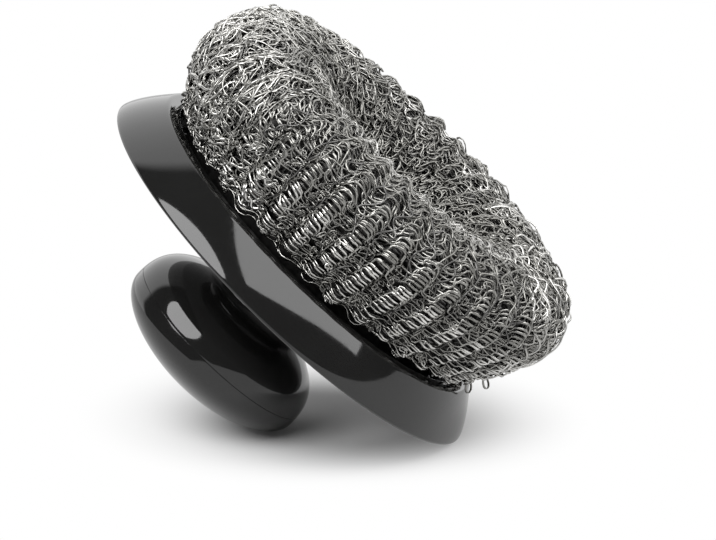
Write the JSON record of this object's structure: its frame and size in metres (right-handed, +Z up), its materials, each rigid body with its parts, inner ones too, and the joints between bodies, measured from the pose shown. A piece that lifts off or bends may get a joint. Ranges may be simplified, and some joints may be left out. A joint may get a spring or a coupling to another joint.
{
  "type": "scourer with knob handle",
  "caption": "Knitted stainless steel scouring ring held in a round glossy black plastic dish with a hollow domed knob behind it, lying on its side.",
  "frame": {"origin": "on the floor under the middle of the outline of the part as it lies on its side", "axes": "+Z up from the floor; +X in the upright plane of the part's own axis, towards the scourer side; +Y across, along the level diameter of the dish"},
  "size_m": [0.0944, 0.0998, 0.0888],
  "materials": {
    "handle_plastic": "high gloss black moulding",
    "pad_wire": "bright knitted wire",
    "button_plastic": "semi-gloss black moulding",
    "screw_steel": "plain steel"
  },
  "bodies": {
    "root": {"knob_cap": "handle_plastic", "knob_base": "handle_plastic", "holder_dish": "handle_plastic", "scourer_pad": "pad_wire", "retaining_button": "button_plastic", "fixing_screw": "screw_steel"}
  },
  "joints": []
}
